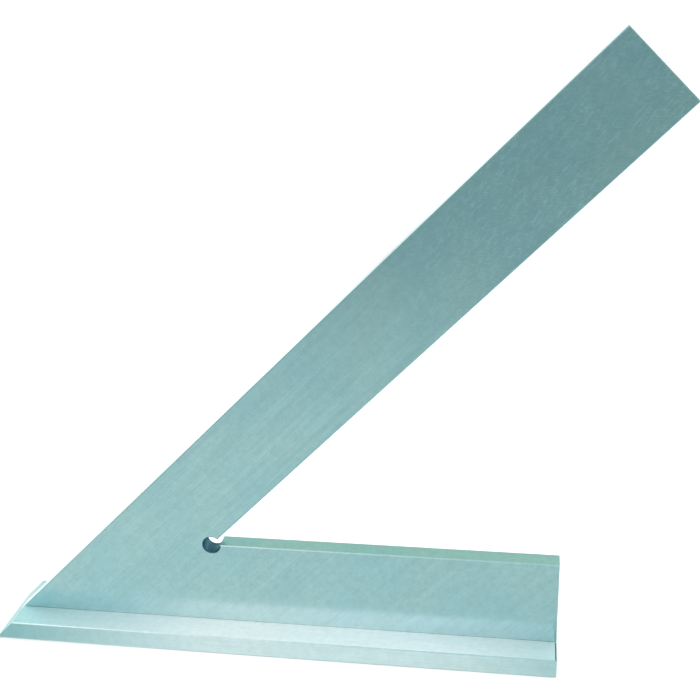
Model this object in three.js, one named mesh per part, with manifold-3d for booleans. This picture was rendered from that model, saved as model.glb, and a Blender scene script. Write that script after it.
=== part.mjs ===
// Acute-angle square with a back: a 45 degree steel blade standing in a grooved stop bar.
// The blade's foot sits in the bar's groove, dowel pins locate it, and countersunk screws hold
// it from underneath. Nothing moves.
//
// Millimetres, +Z up. Y = 0 is the blade's middle plane. The parts are drawn with X = 0 at the
// sharp tip of the stop bar, and the outer group then moves the origin to the middle of the
// bounding box's bottom face.

import * as THREE from 'three';
import Module from 'manifold-3d';
import { mergeVertices } from 'three/addons/utils/BufferGeometryUtils.js';

// Driving dimensions

const armLength = 150; // outer edge of the slanting arm, measured from the tip
const baseLength = 100; // underside of the base, measured from the tip
const armWidth = 15.1; // both arms of the blade, the base one above the stop bar
const bladeThickness = 3.5;
const stopWidth = 14.5;
const stopThickness = 3.4;
const grooveDepth = 1;
const reliefRadius = 1.5; // round relief at the inner corner
const edgeBreak = 0.15; // flat that takes the sharpness off the long edges
const fitGap = 0.05; // clearance round the blade's foot, the screws and the pins

const screwLength = 8;
const screwRadius = 1;
const screwHeadRadius = 1.9;
const screwHeadRim = 0.2;
const slotWidth = 0.5;
const slotDepth = 0.5;
const pinLength = 8;
const pinRadius = 0.75;
const pinChamfer = 0.2;
const fastenerPitch = 35; // screw to screw; each pin is half way between two screws

// Derived dimensions

const diagonal = Math.SQRT1_2; // x and z travelled per millimetre along the 45 degree arm
const footZ = stopThickness - grooveDepth;
const baseTopZ = stopThickness + armWidth;
const innerCornerX = baseTopZ + armWidth / diagonal;
const spanX = (armLength + armWidth) * diagonal;
const middleX = baseLength / 2;
const screwPlaces = [
  { x: middleX - fastenerPitch, slotAngle: 0.5 },
  { x: middleX, slotAngle: 1.9 },
  { x: middleX + fastenerPitch, slotAngle: -0.3 },
];
const pinPlaces = [middleX - fastenerPitch / 2, middleX + fastenerPitch / 2];

const roundSegments = 40;
const overcut = 1; // how far a cutting body runs past the face it cuts

// Materials

const material = (color, roughness) =>
  new THREE.MeshStandardMaterial({ color, roughness, metalness: 1 });

const bladeSteel = { color: 0x8fb6b9, roughness: 0.42 };
const stopSteel = { color: 0xb4cfd1, roughness: 0.38 };
const fastenerSteel = { color: 0x9fb0b2, roughness: 0.3 };

// Solids: a closed three.js geometry becomes a manifold solid for joining and cutting

const wasm = await Module();
wasm.setup();

function toSolid(geometry) {
  const bare = geometry.clone();
  bare.deleteAttribute('normal');
  bare.deleteAttribute('uv');
  const merged = mergeVertices(bare);
  const corners = merged.index.array;
  const triangles = [];
  for (let i = 0; i < corners.length; i += 3) {
    const [a, b, c] = corners.slice(i, i + 3);
    if (a !== b && b !== c && c !== a) {
      triangles.push(a, b, c);
    }
  }
  return new wasm.Manifold(new wasm.Mesh({
    numProp: 3,
    vertProperties: merged.attributes.position.array,
    triVerts: new Uint32Array(triangles),
  }));
}

function toGeometry(solid) {
  const { vertProperties, triVerts } = solid.getMesh();
  const geometry = new THREE.BufferGeometry();
  geometry.setAttribute('position', new THREE.BufferAttribute(vertProperties, 3));
  geometry.setIndex(new THREE.BufferAttribute(triVerts, 1));
  geometry.computeVertexNormals();
  return geometry;
}

// Geometry helpers

function shapeOf(points) {
  return new THREE.Shape(points.map(([x, y]) => new THREE.Vector2(x, y)));
}

// A body whose outline lies in the XZ plane, with its thickness centred on Y = 0
function plate(shape, thickness, bevel) {
  const geometry = new THREE.ExtrudeGeometry(shape, {
    depth: thickness - 2 * bevel,
    curveSegments: roundSegments,
    bevelEnabled: bevel > 0,
    bevelThickness: bevel,
    bevelSize: bevel,
    bevelOffset: -bevel,
    bevelSegments: 1,
  });
  geometry.translate(0, 0, bevel - thickness / 2);
  geometry.rotateX(Math.PI / 2);
  return geometry;
}

// A body turned about a vertical axis, from [radius, z] points that start and end on the axis
function turned(points) {
  const profile = points.map(([radius, z]) => new THREE.Vector2(radius, z));
  const geometry = new THREE.LatheGeometry(profile, roundSegments);
  geometry.rotateX(Math.PI / 2);
  return geometry;
}

// Screw and pin bodies stand on Z = 0. A gap makes them larger all round, as a cutter for
// the hole that takes them.

function screwBody(gap) {
  return turned([
    [0, -gap],
    [screwHeadRadius + gap, -gap],
    [screwHeadRadius + gap, screwHeadRim],
    [screwRadius + gap, screwHeadRim + screwHeadRadius - screwRadius],
    [screwRadius + gap, screwLength + gap],
    [0, screwLength + gap],
  ]);
}

function pinBody(gap) {
  const radius = pinRadius + gap;
  return turned([
    [0, -gap],
    [radius - pinChamfer, -gap],
    [radius, pinChamfer - gap],
    [radius, pinLength - pinChamfer + gap],
    [radius - pinChamfer, pinLength + gap],
    [0, pinLength + gap],
  ]);
}

function cutFastenerHoles(solid) {
  let result = solid;
  for (const { x } of screwPlaces) {
    result = result.subtract(toSolid(screwBody(fitGap).translate(x, 0, 0)));
  }
  for (const x of pinPlaces) {
    result = result.subtract(toSolid(pinBody(fitGap).translate(x, 0, 0)));
  }
  return result;
}

// Pieces

// One flat plate: the base arm, the slanting arm and the round relief where they meet
function bladeGeometry() {
  const outline = new THREE.Shape();
  outline.moveTo(footZ, footZ);
  outline.lineTo(baseLength, footZ);
  outline.lineTo(baseLength, baseTopZ);
  outline.lineTo(innerCornerX + reliefRadius, baseTopZ);
  outline.absarc(innerCornerX, baseTopZ, reliefRadius, 0, Math.PI / 4, true);
  outline.lineTo((armLength + armWidth) * diagonal, (armLength - armWidth) * diagonal);
  outline.lineTo(armLength * diagonal, armLength * diagonal);
  return toGeometry(cutFastenerHoles(toSolid(plate(outline, bladeThickness, edgeBreak))));
}

// A flat bar with a groove along its top, its end mitred in line with the blade's outer edge
function stopBarGeometry() {
  const side = stopWidth / 2;
  const grooveSide = bladeThickness / 2 + fitGap;
  const section = shapeOf([
    [-side + edgeBreak, 0],
    [side - edgeBreak, 0],
    [side, edgeBreak],
    [side, stopThickness - edgeBreak],
    [side - edgeBreak, stopThickness],
    [grooveSide, stopThickness],
    [grooveSide, footZ],
    [-grooveSide, footZ],
    [-grooveSide, stopThickness],
    [-side + edgeBreak, stopThickness],
    [-side, stopThickness - edgeBreak],
    [-side, edgeBreak],
  ]);
  const bar = new THREE.ExtrudeGeometry(section, { depth: baseLength, bevelEnabled: false });
  bar.rotateX(Math.PI / 2);
  bar.rotateZ(Math.PI / 2);

  const pastTop = stopThickness + overcut;
  const mitre = shapeOf([[-overcut, -overcut], [pastTop, pastTop], [-overcut, pastTop]]);
  const mitreCutter = toSolid(plate(mitre, stopWidth + 2 * overcut, 0));
  return toGeometry(cutFastenerHoles(toSolid(bar).subtract(mitreCutter)));
}

// A countersunk screw, head down, with a straight slot across the head
function screwGeometry(slotAngle) {
  const slot = new THREE.BoxGeometry(2 * screwHeadRadius + overcut, slotWidth, 2 * slotDepth);
  slot.rotateZ(slotAngle);
  return toGeometry(toSolid(screwBody(0)).subtract(toSolid(slot)));
}

// Assembly

const square = new THREE.Group();
const tipFrame = new THREE.Group();
tipFrame.position.x = -spanX / 2;
square.add(tipFrame);

function addPiece(name, geometry, { color, roughness }, x) {
  const mesh = new THREE.Mesh(geometry, material(color, roughness));
  mesh.name = name;
  mesh.position.x = x;
  tipFrame.add(mesh);
}

addPiece('blade', bladeGeometry(), bladeSteel, 0);
addPiece('stop_bar', stopBarGeometry(), stopSteel, 0);
screwPlaces.forEach(({ x, slotAngle }, i) => {
  addPiece(`countersunk_screw_${i + 1}`, screwGeometry(slotAngle), fastenerSteel, x);
});
pinPlaces.forEach((x, i) => {
  addPiece(`dowel_pin_${i + 1}`, pinBody(0), fastenerSteel, x);
});

export default square;
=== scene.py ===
import math

import bmesh
import bpy
from mathutils import Matrix, Vector


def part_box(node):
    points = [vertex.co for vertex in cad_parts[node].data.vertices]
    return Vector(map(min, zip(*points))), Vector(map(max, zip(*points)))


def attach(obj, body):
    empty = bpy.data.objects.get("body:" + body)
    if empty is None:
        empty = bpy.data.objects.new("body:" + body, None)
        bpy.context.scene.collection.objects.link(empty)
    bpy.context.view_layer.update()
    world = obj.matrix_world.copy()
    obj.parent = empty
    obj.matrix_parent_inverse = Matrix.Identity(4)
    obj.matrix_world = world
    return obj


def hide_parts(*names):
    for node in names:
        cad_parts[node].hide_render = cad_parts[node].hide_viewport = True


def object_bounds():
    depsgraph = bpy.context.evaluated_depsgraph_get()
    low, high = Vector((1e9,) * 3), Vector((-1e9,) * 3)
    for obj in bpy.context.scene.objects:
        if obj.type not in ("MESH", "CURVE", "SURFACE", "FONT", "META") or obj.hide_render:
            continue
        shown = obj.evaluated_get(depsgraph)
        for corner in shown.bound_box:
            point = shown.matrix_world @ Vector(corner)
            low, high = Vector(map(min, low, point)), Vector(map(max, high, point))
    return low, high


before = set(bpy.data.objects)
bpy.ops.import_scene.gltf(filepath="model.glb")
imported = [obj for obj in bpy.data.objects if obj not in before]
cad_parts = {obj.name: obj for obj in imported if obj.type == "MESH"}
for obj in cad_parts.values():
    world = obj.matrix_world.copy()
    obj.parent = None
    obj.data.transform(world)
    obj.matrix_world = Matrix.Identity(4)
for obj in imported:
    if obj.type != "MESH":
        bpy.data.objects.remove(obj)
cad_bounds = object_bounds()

# An acute-angle square of 45 degrees: a ground steel blade standing in a grooved stop bar, with
# screws and dowel pins in the underside. Metres, +Z up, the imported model's own frame.

MM = 0.001
ROOT_BODY = "root"

# ---------------------------------------------------------------- sizes taken from the frame

blade_low, blade_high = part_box("blade")
bar_low, bar_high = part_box("stop_bar")

TIP_X = bar_low[0]
BASE_END_X = bar_high[0]
STOP_TOP_Z = bar_high[2]
STOP_HALF_WIDTH = bar_high[1]
BLADE_HALF = blade_high[1]
FOOT_Z = blade_low[2]
ARM_TOP_Z = blade_high[2]
ARM_END_X = blade_high[0]
ARM_WIDTH = math.sqrt(2) * (ARM_END_X - TIP_X - ARM_TOP_Z)
BASE_TOP_Z = STOP_TOP_Z + ARM_WIDTH
INNER_CORNER_X = TIP_X + BASE_TOP_Z + math.sqrt(2) * ARM_WIDTH

SCREWS = sorted(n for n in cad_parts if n.startswith("countersunk_screw"))
PINS = sorted(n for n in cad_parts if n.startswith("dowel_pin"))

# ---------------------------------------------------------------- detail the frame leaves out

ARM_ANGLE = math.pi / 4
RELIEF_RADIUS = 1.5 * MM
EDGE_BREAK = 0.16 * MM
RELIEF_RIM = 1.5 * EDGE_BREAK  # wide enough to take in the relief's broken edge
# The square end's top edge takes the dark painted shade material, a painted shade line
LEDGE_END_BREAK = 0.26 * MM  # the square end's top edge is eased more than the long edges
EDGE_SEGMENTS = 1
FIT_GAP = 0.03 * MM
GROOVE_GAP = 0.04 * MM
SCREW_HEAD_RIM = 0.2 * MM
SCREW_HEAD_EDGE = 0.03 * MM
SCREW_RADIUS = 1.0 * MM
THREAD_PITCH = 0.4 * MM
THREAD_DEPTH = 0.2 * MM
SLOT_WIDTH = 0.5 * MM
SLOT_DEPTH = 0.5 * MM
SLOT_ANGLES = (0.5, 1.9, -0.3)
POINT_CHAMFER = 0.2 * MM  # at the inner end of a screw or pin
PIN_HEAD_CHAMFER = POINT_CHAMFER / 4

ROUND_STEPS = 96
SCREW_STEPS = 48
STEPS_PER_THREAD = 8
OVERCUT = 1.0 * MM  # how far a cutter runs past the face that it cuts
WELD_DISTANCE = 0.001 * MM
SAME_PLACE = 1e-9


def colour(red, green, blue):
    return (red, green, blue, 1.0)


BLADE_TINT = colour(0.62, 0.76, 0.77)
BLADE_EDGE_TINT = colour(0.66, 0.79, 0.80)
BLADE_TINT_COOL = colour(0.57, 0.74, 0.77)
BAR_TINT = colour(0.84, 0.95, 0.955)
BAR_EDGE_TINT = colour(0.72, 0.84, 0.85)
BAR_TINT_COOL = colour(0.80, 0.93, 0.945)
# Painted shade at both ends of the bar, which leaves a painted highlight in its middle
BAR_TINT_PAINTED_END_SHADE = colour(0.30, 0.57, 0.59)
FASTENER_TINT = colour(0.62, 0.69, 0.70)
# Near-black steel for hole walls, the relief hole and the ledge's end edge: painted shade
PAINTED_SHADE_TINT = colour(0.09, 0.22, 0.30)

# ---------------------------------------------------------------- node helpers


class Nodes:
    """A node tree with short calls for the nodes that the materials and the world share."""

    def __init__(self, tree):
        self.tree = tree
        self.tree.nodes.clear()

    def add(self, kind, **settings):
        node = self.tree.nodes.new(kind)
        for name, value in settings.items():
            setattr(node, name, value)
        return node

    def link(self, source, target):
        self.tree.links.new(source, target)

    def math(self, operation, first, second=0.0):
        node = self.add("ShaderNodeMath", operation=operation)
        for socket, value in zip(node.inputs, (first, second)):
            if isinstance(value, (int, float)):
                socket.default_value = value
            else:
                self.link(value, socket)
        return node.outputs[0]

    def ramp(self, value, low, high, out_low=0.0, out_high=1.0):
        """value from low to high becomes out_low to out_high, with a smooth start and stop."""
        node = self.add("ShaderNodeMapRange", interpolation_type="SMOOTHSTEP")
        self.link(value, node.inputs["Value"])
        node.inputs["From Min"].default_value = low
        node.inputs["From Max"].default_value = high
        node.inputs["To Min"].default_value = out_low
        node.inputs["To Max"].default_value = out_high
        return node.outputs["Result"]

    def mix_colour(self, factor, first, second, blend="MIX"):
        node = self.add("ShaderNodeMix", data_type="RGBA", blend_type=blend)
        sockets = (node.inputs[0], node.inputs[6], node.inputs[7])  # factor, A and B of a colour
        for socket, value in zip(sockets, (factor, first, second)):
            if isinstance(value, (int, float, tuple)):
                socket.default_value = value
            else:
                self.link(value, socket)
        return node.outputs[2]

    def noise(self, vector, scale, detail):
        node = self.add("ShaderNodeTexNoise")
        self.link(vector, node.inputs["Vector"])
        node.inputs["Scale"].default_value = scale
        node.inputs["Detail"].default_value = detail
        return node.outputs["Fac"]

    def stretched(self, vector, angle, along, across, offset):
        """Coordinates turned by angle about Y, then scaled along and across the turned X axis."""
        node = self.add("ShaderNodeMapping", vector_type="TEXTURE")
        node.inputs["Rotation"].default_value = (0.0, -angle, 0.0)
        node.inputs["Location"].default_value = (offset, 0.0, 0.0)
        self.link(vector, node.inputs["Vector"])
        node.inputs["Scale"].default_value = (1.0 / along, 1.0 / across, 1.0 / across)
        return node.outputs["Vector"]


# ---------------------------------------------------------------- materials

# Noise scales are per metre. A grain has one along it and one across it, then an offset that
# keeps it from matching the others; scratches have their angle before these.

FINE_GRAIN = (90.0, 5200.0, 0.0)
MEDIUM_GRAIN = (60.0, 1500.0, 0.3)
BROAD_GRAIN = (30.0, 420.0, 0.7)
MACHINED_GRAIN = (300.0, 5000.0, 0.0)
CROSS_SCRATCHES = (0.05, 850.0, 4600.0, 0.1)
STEEP_SCRATCHES = (0.95, 700.0, 4200.0, 0.5)
CLOUD_SCALE = 70.0
PATCH_SCALE = 90.0
MOTTLE_SCALE = 900.0
SPECKLE_SCALE = 2600.0

# The part of a noise's range that is used

NOISE_RANGE = (0.3, 0.7)
CLOUD_RANGE = (0.35, 0.65)
PATCH_RANGE = (0.3, 0.6)
SCRATCH_RANGE = (0.58, 0.74)

# How much each layer lightens, darkens, roughens or raises the steel

LINE_SHADE = (0.97, 1.02)
MACHINED_SHADE = (0.82, 1.1)
BROAD_SHADE = 0.012
SPECKLE_SHADE = 0.02
MOTTLE_SHADE = 0.025
SCRATCH_SHADE = 0.13
LEAST_PATCH = 0.3  # what is left of the scratches between their patches
LEAST_HANDLED = 0.15  # and away from the arm's end
LINE_ROUGHNESS = 0.04
MACHINED_ROUGHNESS = 0.08
LINE_BUMP_STRENGTH = 0.2
LINE_BUMP_DEPTH = 0.002 * MM

# Where the bar's painted shade starts and where it is darkest, as a distance from X = 0; the bright
# middle left between is a painted highlight

PAINTED_END_SHADE_REACH = (14 * MM, 66 * MM)

# Where scratches start to gather and where they are most, as x + z, which grows up the arm

SCRATCHED_REACH = (60 * MM, 125 * MM)


def scratches(nodes, position, angle, along, across, offset):
    """Short scattered dashes, 1 on a scratch and 0 elsewhere."""
    field = nodes.noise(nodes.stretched(position, angle, along, across, offset), 1.0, 0.0)
    return nodes.ramp(field, *SCRATCH_RANGE)


def multiplied(nodes, tint, shade):
    """The tint, lightened or darkened by the shade."""
    grey = nodes.add("ShaderNodeCombineColor")
    for channel in grey.inputs:
        nodes.link(shade, channel)
    return nodes.mix_colour(1.0, tint, grey.outputs[0], "MULTIPLY")


def ground_steel(
    name, tint, cool_tint, grain_angle, roughness, metallic=1.0, wear=1.0, painted_end_shade_tint=None,
):
    """Surface-ground steel: long fine lines along the grain, faint clouds and stray scratches.
    An end tint is painted shade that the surface fades to towards both ends of the base, leaving a
    painted highlight in the middle."""
    material = bpy.data.materials.new(name)
    material.use_nodes = True
    nodes = Nodes(material.node_tree)
    output = nodes.add("ShaderNodeOutputMaterial")
    shader = nodes.add("ShaderNodeBsdfPrincipled")
    nodes.link(shader.outputs[0], output.inputs[0])
    position = nodes.add("ShaderNodeTexCoord").outputs["Object"]

    fine = nodes.noise(nodes.stretched(position, grain_angle, *FINE_GRAIN), 1.0, 2.0)
    medium = nodes.noise(nodes.stretched(position, grain_angle, *MEDIUM_GRAIN), 1.0, 2.0)
    broad = nodes.noise(nodes.stretched(position, grain_angle, *BROAD_GRAIN), 1.0, 1.0)
    cloud = nodes.noise(position, CLOUD_SCALE, 2.0)
    speckle = nodes.noise(position, SPECKLE_SCALE, 1.0)
    mottle = nodes.noise(position, MOTTLE_SCALE, 1.0)

    lines = nodes.math("ADD", nodes.math("MULTIPLY", fine, 0.5), nodes.math("MULTIPLY", medium, 0.5))
    cross = scratches(nodes, position, *CROSS_SCRATCHES)
    steep = scratches(nodes, position, *STEEP_SCRATCHES)
    place = nodes.add("ShaderNodeSeparateXYZ")
    nodes.link(position, place.inputs[0])
    up_the_arm = nodes.math("ADD", place.outputs["X"], place.outputs["Z"])
    handled = nodes.ramp(up_the_arm, *SCRATCHED_REACH, LEAST_HANDLED, 1.0)
    patches = nodes.ramp(nodes.noise(position, PATCH_SCALE, 1.0), *PATCH_RANGE, LEAST_PATCH, 1.0)
    patchy = nodes.math("MULTIPLY", patches, handled)
    marks = nodes.math("MULTIPLY", nodes.math("MAXIMUM", cross, steep), patchy)

    tone = nodes.mix_colour(nodes.ramp(cloud, *CLOUD_RANGE), tint, cool_tint)
    # Painted shade towards both ends of the base; the middle keeps the tone as a painted highlight
    if painted_end_shade_tint:
        from_middle = nodes.math("ABSOLUTE", place.outputs["X"])
        tone = nodes.mix_colour(nodes.ramp(from_middle, *PAINTED_END_SHADE_REACH), tone, painted_end_shade_tint)
    shade = nodes.ramp(lines, *NOISE_RANGE, *LINE_SHADE)
    for layer, strength in ((broad, BROAD_SHADE), (speckle, SPECKLE_SHADE), (mottle, MOTTLE_SHADE)):
        shade = nodes.math("ADD", shade, nodes.ramp(layer, *NOISE_RANGE, -strength, strength))
    shade = nodes.math("ADD", shade, nodes.math("MULTIPLY", marks, SCRATCH_SHADE * wear))
    nodes.link(multiplied(nodes, tone, shade), shader.inputs["Base Color"])

    rough, smooth = roughness + LINE_ROUGHNESS, roughness - LINE_ROUGHNESS
    nodes.link(nodes.ramp(lines, *NOISE_RANGE, rough, smooth), shader.inputs["Roughness"])

    bump = nodes.add("ShaderNodeBump")
    bump.inputs["Strength"].default_value = LINE_BUMP_STRENGTH
    bump.inputs["Distance"].default_value = LINE_BUMP_DEPTH
    nodes.link(lines, bump.inputs["Height"])
    nodes.link(bump.outputs["Normal"], shader.inputs["Normal"])
    shader.inputs["Metallic"].default_value = metallic
    return material


def machined_steel(name, tint, roughness):
    """Machined steel with fine lines along the base, for bores, screws and pins."""
    material = bpy.data.materials.new(name)
    material.use_nodes = True
    nodes = Nodes(material.node_tree)
    output = nodes.add("ShaderNodeOutputMaterial")
    shader = nodes.add("ShaderNodeBsdfPrincipled")
    nodes.link(shader.outputs[0], output.inputs[0])
    position = nodes.add("ShaderNodeTexCoord").outputs["Object"]
    marks = nodes.noise(nodes.stretched(position, 0.0, *MACHINED_GRAIN), 1.0, 2.0)
    shade = nodes.ramp(marks, *NOISE_RANGE, *MACHINED_SHADE)
    nodes.link(multiplied(nodes, tint, shade), shader.inputs["Base Color"])
    rough, smooth = roughness + MACHINED_ROUGHNESS, roughness - MACHINED_ROUGHNESS
    nodes.link(nodes.ramp(marks, *NOISE_RANGE, rough, smooth), shader.inputs["Roughness"])
    shader.inputs["Metallic"].default_value = 1.0
    return material


blade_steel = ground_steel(
    "blade_steel", BLADE_TINT, BLADE_TINT_COOL, ARM_ANGLE, roughness=0.22, wear=1.25,
)
blade_edge = ground_steel(
    "blade_edge", BLADE_EDGE_TINT, BLADE_EDGE_TINT, ARM_ANGLE, roughness=0.24, wear=0.0,
)
# The bar fades to painted shade towards both ends, leaving a painted highlight in the middle
bar_steel = ground_steel(
    "bar_steel", BAR_TINT, BAR_TINT_COOL, 0.0, roughness=0.36, metallic=0.3, wear=0.4,
    painted_end_shade_tint=BAR_TINT_PAINTED_END_SHADE,
)
bar_edge = ground_steel(
    "bar_edge", BAR_EDGE_TINT, BAR_EDGE_TINT, 0.0, roughness=0.26, wear=0.0,
)
# The dark tint is painted shade for hole walls, the relief hole and the ledge's end edge
painted_shade_steel = machined_steel("painted_shade_steel", PAINTED_SHADE_TINT, roughness=0.5)
fastener_steel = machined_steel("fastener_steel", FASTENER_TINT, roughness=0.3)

# ---------------------------------------------------------------- mesh helpers

# The third material is the dark painted shade, for hole walls and the ledge's end edge
FACE, EDGE, PAINTED_SHADE = 0, 1, 2  # places in a piece's list of materials


def finish_mesh(name, mesh_data, materials):
    mesh = bpy.data.meshes.new(name)
    bmesh.ops.recalc_face_normals(mesh_data, faces=mesh_data.faces)
    mesh_data.to_mesh(mesh)
    mesh_data.free()
    for material in materials:
        mesh.materials.append(material)
    piece = bpy.data.objects.new(name, mesh)
    bpy.context.scene.collection.objects.link(piece)
    return piece


def prism(outline, start, end, place):
    """A closed body between two copies of an outline; place(u, v, w) gives the point in space."""
    mesh_data = bmesh.new()
    rings = [[mesh_data.verts.new(place(u, v, w)) for u, v in outline] for w in (start, end)]
    for ring in rings:
        mesh_data.faces.new(ring)
    count = len(outline)
    for i in range(count):
        j = (i + 1) % count
        mesh_data.faces.new((rings[0][i], rings[0][j], rings[1][j], rings[1][i]))
    bmesh.ops.recalc_face_normals(mesh_data, faces=mesh_data.faces)
    return mesh_data


def turned_body(profile, steps=ROUND_STEPS):
    """A closed body turned about the vertical through the origin, from (radius, z) points."""
    mesh_data = bmesh.new()
    rings = []
    for radius, z in profile:
        if radius == 0.0:
            rings.append([mesh_data.verts.new((0.0, 0.0, z))])
            continue
        turn = [2 * math.pi * k / steps for k in range(steps)]
        rings.append([mesh_data.verts.new((radius * math.cos(a), radius * math.sin(a), z)) for a in turn])
    for lower, upper in zip(rings, rings[1:]):
        for k in range(steps):
            corners = [lower[k % len(lower)], lower[(k + 1) % len(lower)]]
            corners += [upper[(k + 1) % len(upper)], upper[k % len(upper)]]
            mesh_data.faces.new(list(dict.fromkeys(corners)))
    return mesh_data


def weld(mesh):
    """Joins the near-double vertices that a cut leaves."""
    mesh_data = bmesh.new()
    mesh_data.from_mesh(mesh)
    bmesh.ops.remove_doubles(mesh_data, verts=mesh_data.verts, dist=WELD_DISTANCE)
    bmesh.ops.dissolve_degenerate(mesh_data, edges=mesh_data.edges, dist=WELD_DISTANCE)
    mesh_data.to_mesh(mesh)
    mesh_data.free()


def cut(piece, cutter_data, material_index):
    """Takes the cutter's body out of the piece; the cut faces get the piece's material_index."""
    for face in cutter_data.faces:
        face.material_index = material_index
    cutter = finish_mesh("cutter", cutter_data, piece.data.materials)
    modifier = piece.modifiers.new("cut", "BOOLEAN")
    modifier.operation = "DIFFERENCE"
    modifier.solver = "EXACT"
    modifier.object = cutter
    bpy.context.view_layer.update()
    graph = bpy.context.evaluated_depsgraph_get()
    result = bpy.data.meshes.new_from_object(piece.evaluated_get(graph))
    weld(result)
    piece.modifiers.clear()
    old = piece.data
    piece.data = result
    result.name = old.name
    bpy.data.meshes.remove(old)
    bpy.data.objects.remove(cutter, do_unlink=True)


def fastener_box(node):
    """(centre x, radius, height) of an upright round node."""
    low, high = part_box(node)
    return (low[0] + high[0]) / 2, (high[0] - low[0]) / 2, high[2]


def screw_hole(node):
    x, head_radius, height = fastener_box(node)
    taper = head_radius - SCREW_RADIUS
    hole = turned_body([
        (0.0, -OVERCUT),
        (head_radius + FIT_GAP, -OVERCUT),
        (head_radius + FIT_GAP, SCREW_HEAD_RIM),
        (SCREW_RADIUS + FIT_GAP, SCREW_HEAD_RIM + taper),
        (SCREW_RADIUS + FIT_GAP, height + FIT_GAP),
        (0.0, height + FIT_GAP),
    ])
    bmesh.ops.translate(hole, verts=hole.verts, vec=(x, 0.0, 0.0))
    return hole


def pin_hole(node):
    x, radius, height = fastener_box(node)
    hole = turned_body([
        (0.0, -OVERCUT),
        (radius + FIT_GAP, -OVERCUT),
        (radius + FIT_GAP, height + FIT_GAP),
        (0.0, height + FIT_GAP),
    ])
    bmesh.ops.translate(hole, verts=hole.verts, vec=(x, 0.0, 0.0))
    return hole


def cut_fastener_holes(piece):
    # The hole walls take the dark painted shade material
    for node in SCREWS:
        cut(piece, screw_hole(node), PAINTED_SHADE)
    for node in PINS:
        cut(piece, pin_hole(node), PAINTED_SHADE)


def place_piece(piece, node):
    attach(piece, ROOT_BODY)
    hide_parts(node)


# ---------------------------------------------------------------- blade


def blade_outline():
    """The V plate in (x, z), from the foot's mitred corner round by the relief hole."""
    points = [(TIP_X + FOOT_Z, FOOT_Z), (BASE_END_X, FOOT_Z), (BASE_END_X, BASE_TOP_Z)]
    sweep = 2 * math.pi - ARM_ANGLE
    for k in range(ROUND_STEPS + 1):
        angle = -sweep * k / ROUND_STEPS
        x = INNER_CORNER_X + RELIEF_RADIUS * math.cos(angle)
        points.append((x, BASE_TOP_Z + RELIEF_RADIUS * math.sin(angle)))
    across = ARM_WIDTH / math.sqrt(2)
    points.append((ARM_END_X, ARM_TOP_Z - across))
    points.append((TIP_X + ARM_TOP_Z, ARM_TOP_Z))
    return points


def in_relief(face):
    """Whether a face belongs to the relief hole: its wall or the broken edge round it."""
    reach = RELIEF_RADIUS + RELIEF_RIM
    from_centre = [math.hypot(v.co.x - INNER_CORNER_X, v.co.z - BASE_TOP_Z) for v in face.verts]
    return max(from_centre) < reach


def make_blade():
    body = prism(blade_outline(), -BLADE_HALF, BLADE_HALF, lambda u, v, w: (u, w, v))
    rim = [edge for edge in body.edges if abs(edge.verts[0].co.y - edge.verts[1].co.y) < SAME_PLACE]
    bmesh.ops.bevel(
        body, geom=rim, offset=EDGE_BREAK, offset_type="OFFSET", segments=EDGE_SEGMENTS,
        profile=0.5, affect="EDGES", material=EDGE,
    )
    # The relief hole's wall and broken edge take the dark painted shade material
    for face in body.faces:
        if in_relief(face):
            face.material_index = PAINTED_SHADE
    blade = finish_mesh("ground_blade", body, (blade_steel, blade_edge, painted_shade_steel))
    cut_fastener_holes(blade)
    place_piece(blade, "blade")


make_blade()

# ---------------------------------------------------------------- stop bar


def bar_section():
    """The grooved section in (y, z)."""
    side = STOP_HALF_WIDTH
    groove = BLADE_HALF + GROOVE_GAP
    return [
        (-side, 0.0),
        (side, 0.0),
        (side, STOP_TOP_Z),
        (groove, STOP_TOP_Z),
        (groove, FOOT_Z),
        (-groove, FOOT_Z),
        (-groove, STOP_TOP_Z),
        (-side, STOP_TOP_Z),
    ]


def at_end_top(point):
    """Whether a point lies on the square end's top edge."""
    return abs(point.x - BASE_END_X) < SAME_PLACE and abs(point.z - STOP_TOP_Z) < SAME_PLACE


def make_stop_bar():
    body = prism(bar_section(), TIP_X, BASE_END_X, lambda u, v, w: (w, u, v))
    for vertex in body.verts:
        if abs(vertex.co.x - TIP_X) < SAME_PLACE:
            vertex.co.x += vertex.co.z
    long_edges = [
        edge for edge in body.edges
        if abs(abs(edge.verts[0].co.y) - STOP_HALF_WIDTH) < SAME_PLACE
        and abs(edge.verts[0].co.y - edge.verts[1].co.y) < SAME_PLACE
        and abs(edge.verts[0].co.z - edge.verts[1].co.z) < SAME_PLACE
    ]
    bmesh.ops.bevel(
        body, geom=long_edges, offset=EDGE_BREAK, offset_type="OFFSET", segments=EDGE_SEGMENTS,
        profile=0.5, affect="EDGES", material=EDGE,
    )
    # The square end's top edge gets the dark painted shade material: a painted shade line along it
    end_top_edges = [edge for edge in body.edges if all(at_end_top(v.co) for v in edge.verts)]
    bmesh.ops.bevel(
        body, geom=end_top_edges, offset=LEDGE_END_BREAK, offset_type="OFFSET", segments=EDGE_SEGMENTS,
        profile=0.5, affect="EDGES", material=PAINTED_SHADE,
    )
    bar = finish_mesh("ground_stop_bar", body, (bar_steel, bar_edge, painted_shade_steel))
    cut_fastener_holes(bar)
    place_piece(bar, "stop_bar")


make_stop_bar()

# ---------------------------------------------------------------- screws and pins


def thread_radius(z, angle, start, end):
    """Radius of a V thread that fades in above the head and out at the point."""
    phase = (z / THREAD_PITCH - angle / (2 * math.pi)) % 1.0
    ridge = 1.0 - abs(2.0 * phase - 1.0)
    fade = min(1.0, (z - start) / THREAD_PITCH, (end - z) / THREAD_PITCH)
    return SCREW_RADIUS - THREAD_DEPTH * (1.0 - ridge) * max(0.0, fade)


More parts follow.
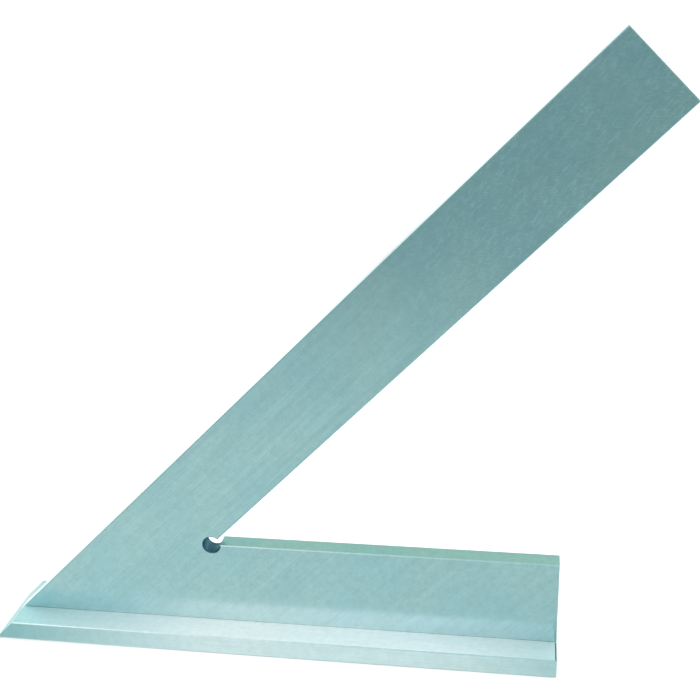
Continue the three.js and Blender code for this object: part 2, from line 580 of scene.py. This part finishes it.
def make_screw(node, slot_angle):
    x, head_radius, height = fastener_box(node)
    neck_z = SCREW_HEAD_RIM + head_radius - SCREW_RADIUS
    top_z = height - POINT_CHAMFER
    steps_up = int((top_z - neck_z) / (THREAD_PITCH / STEPS_PER_THREAD))
    profile = [(0.0, 0.0), (head_radius - SCREW_HEAD_EDGE, 0.0), (head_radius, SCREW_HEAD_EDGE)]
    profile += [(head_radius, SCREW_HEAD_RIM)]
    threaded = [neck_z + (top_z - neck_z) * k / steps_up for k in range(steps_up + 1)]
    profile += [(SCREW_RADIUS, z) for z in threaded]
    profile += [(SCREW_RADIUS - POINT_CHAMFER, height), (0.0, height)]
    body = turned_body(profile, SCREW_STEPS)
    for vertex in body.verts:
        z = vertex.co.z
        if neck_z < z < top_z:
            angle = math.atan2(vertex.co.y, vertex.co.x)
            radius = thread_radius(z, angle, neck_z, top_z)
            vertex.co.x = radius * math.cos(angle)
            vertex.co.y = radius * math.sin(angle)
    screw = finish_mesh(f"slotted_{node}", body, (fastener_steel,))
    side = SLOT_WIDTH / 2
    section = [(-side, -SLOT_DEPTH), (side, -SLOT_DEPTH), (side, SLOT_DEPTH), (-side, SLOT_DEPTH)]
    reach = head_radius + OVERCUT
    slot = prism(section, -reach, reach, lambda u, v, w: (w, u, v))
    turn = Matrix.Rotation(slot_angle, 3, "Z")
    bmesh.ops.rotate(slot, verts=slot.verts, cent=(0, 0, 0), matrix=turn)
    cut(screw, slot, FACE)
    screw.data.transform(Matrix.Translation((x, 0.0, 0.0)))
    place_piece(screw, node)


def make_pin(node):
    x, radius, height = fastener_box(node)
    body = turned_body([
        (0.0, 0.0),
        (radius - PIN_HEAD_CHAMFER, 0.0),
        (radius, PIN_HEAD_CHAMFER),
        (radius, height - POINT_CHAMFER),
        (radius - POINT_CHAMFER, height),
        (0.0, height),
    ])
    bmesh.ops.translate(body, verts=body.verts, vec=(x, 0.0, 0.0))
    pin = finish_mesh(f"ground_{node}", body, (fastener_steel,))
    place_piece(pin, node)


for screw_node, slot_angle in zip(SCREWS, SLOT_ANGLES):
    make_screw(screw_node, slot_angle)
for pin_node in PINS:
    make_pin(pin_node)

# ---------------------------------------------------------------- floor, light and camera

FLOOR_SIZE = 12.0
FLOOR_COLOUR = colour(0.92, 0.92, 0.92)
FLOOR_ROUGHNESS = 0.9
LIGHT_DISTANCE = 1.1
CLIP_START = 0.01
SENSOR_WIDTH = 36.0
LENS = 60.1
CAMERA_FROM_CENTRE = Vector((34.725, -175.511, 68.53)) * MM
CAMERA_YAW = math.radians(9.107)
CAMERA_PITCH = math.radians(-20.477)
CAMERA_ROLL = math.radians(-1.339)


def make_floor():
    mesh_data = bmesh.new()
    bmesh.ops.create_grid(mesh_data, x_segments=2, y_segments=2, size=FLOOR_SIZE / 2)
    material = bpy.data.materials.new("pale_floor")
    material.use_nodes = True
    shader = material.node_tree.nodes["Principled BSDF"]
    shader.inputs["Base Color"].default_value = FLOOR_COLOUR
    shader.inputs["Roughness"].default_value = FLOOR_ROUGHNESS
    shader.inputs["Specular IOR Level"].default_value = 0.0
    floor = finish_mesh("floor", mesh_data, (material,))
    floor.visible_glossy = False
    floor.visible_diffuse = False


# What the steel reflects: the floor close by, the room beyond it, and a pale wall behind

NEAR_LEFT = colour(0.60, 0.79, 0.78)
NEAR_RIGHT = colour(0.50, 0.69, 0.69)
FAR = colour(0.248, 0.380, 0.388)
BACK_WALL = colour(1.3, 1.35, 1.35)
BACK_HIGH = colour(0.42, 0.65, 0.56)
CEILING_LEFT = colour(1.1, 1.1, 1.1)
CEILING_RIGHT = colour(0.52, 0.74, 0.76)

# What lights the object's matt side, and what the camera sees behind the object

OPEN_BELOW = colour(0.48, 0.64, 0.64)
OPEN_HORIZON = colour(0.4, 0.4, 0.4)
OPEN_ZENITH = colour(2.2, 2.15, 2.15)
BACKDROP = colour(1.0, 1.0, 1.0)

# Where one part of the room turns into the next, as the x, y or z of the direction looked in

NEAR_SIDES_X = (-0.4, 0.08)
NEAR_LIMIT_Z = (-0.37, -0.285)
WALL_RIGHT_X = (-0.22, -0.34)
WALL_LEFT_X = (-0.72, -0.6)
WALL_LEVEL_Z = (-0.16, -0.06)
BACK_HIGH_Z = (0.15, 0.35)
FRONT_Y = (0.12, -0.12)
CEILING_SIDES_X = (-0.36, -0.02)
CEILING_Z = (0.6, 0.82)
HORIZON_Z = (-0.03, 0.03)


def make_world():
    """A pale room: white to the eye, with a shaded side in front for the steel to reflect."""
    world = bpy.data.worlds.new("studio")
    bpy.context.scene.world = world
    world.use_nodes = True
    nodes = Nodes(world.node_tree)
    output = nodes.add("ShaderNodeOutputWorld")
    direction = nodes.add("ShaderNodeSeparateXYZ")
    nodes.link(nodes.add("ShaderNodeTexCoord").outputs["Generated"], direction.inputs[0])
    x, y, z = direction.outputs

    near = nodes.mix_colour(nodes.ramp(x, *NEAR_SIDES_X), NEAR_LEFT, NEAR_RIGHT)
    room = nodes.mix_colour(nodes.ramp(z, *NEAR_LIMIT_Z), near, FAR)
    low_wall = nodes.math("MULTIPLY", nodes.ramp(x, *WALL_RIGHT_X), nodes.ramp(x, *WALL_LEFT_X))
    wall = nodes.math("MAXIMUM", low_wall, nodes.ramp(z, *WALL_LEVEL_Z))
    back = nodes.mix_colour(wall, room, BACK_WALL)
    back = nodes.mix_colour(nodes.ramp(z, *BACK_HIGH_Z), back, BACK_HIGH)
    room = nodes.mix_colour(nodes.ramp(y, *FRONT_Y), back, room)
    ceiling = nodes.mix_colour(nodes.ramp(x, *CEILING_SIDES_X), CEILING_LEFT, CEILING_RIGHT)
    room = nodes.mix_colour(nodes.ramp(z, *CEILING_Z), room, ceiling)

    rays = nodes.add("ShaderNodeLightPath")
    sky = nodes.mix_colour(z, OPEN_HORIZON, OPEN_ZENITH)
    open_light = nodes.mix_colour(nodes.ramp(z, *HORIZON_Z), OPEN_BELOW, sky)
    seen = nodes.mix_colour(rays.outputs["Is Diffuse Ray"], room, open_light)
    seen = nodes.mix_colour(rays.outputs["Is Camera Ray"], seen, BACKDROP)
    background = nodes.add("ShaderNodeBackground")
    nodes.link(seen, background.inputs["Color"])
    nodes.link(background.outputs[0], output.inputs[0])


def make_area_light(name, direction, size, radiance, light_colour=(1.0, 1.0, 1.0)):
    light = bpy.data.lights.new(name, "AREA")
    light.shape = "DISK"
    light.size = size
    light.color = light_colour
    light.energy = radiance * math.pi * math.pi * (size / 2) ** 2
    lamp = bpy.data.objects.new(name, light)
    aim = Vector(direction).normalized()
    lamp.location = aim * LIGHT_DISTANCE
    lamp.rotation_euler = aim.to_track_quat("Z", "Y").to_euler()
    bpy.context.scene.collection.objects.link(lamp)


def make_camera():
    camera = bpy.data.cameras.new("camera")
    camera.sensor_width = SENSOR_WIDTH
    camera.lens = LENS
    camera.clip_start = CLIP_START
    holder = bpy.data.objects.new("camera", camera)
    centre = (Vector(cad_bounds[0]) + Vector(cad_bounds[1])) / 2
    turn = Matrix.Rotation(CAMERA_YAW, 4, "Z")
    tilt = Matrix.Rotation(math.pi / 2 + CAMERA_PITCH, 4, "X")
    roll = Matrix.Rotation(CAMERA_ROLL, 4, "Z")
    holder.matrix_world = Matrix.Translation(centre + CAMERA_FROM_CENTRE) @ turn @ tilt @ roll
    bpy.context.scene.collection.objects.link(holder)
    bpy.context.scene.camera = holder


make_floor()
make_world()
make_area_light(
    "front_softbox", (-0.17, -0.82, 0.57), size=0.42, radiance=1.2, light_colour=(1.0, 0.86, 0.84),
)
make_area_light("left_softbox", (-0.5, -0.5, 0.75), size=0.35, radiance=0.6)
make_camera()
bpy.context.scene.view_settings.view_transform = "Standard"
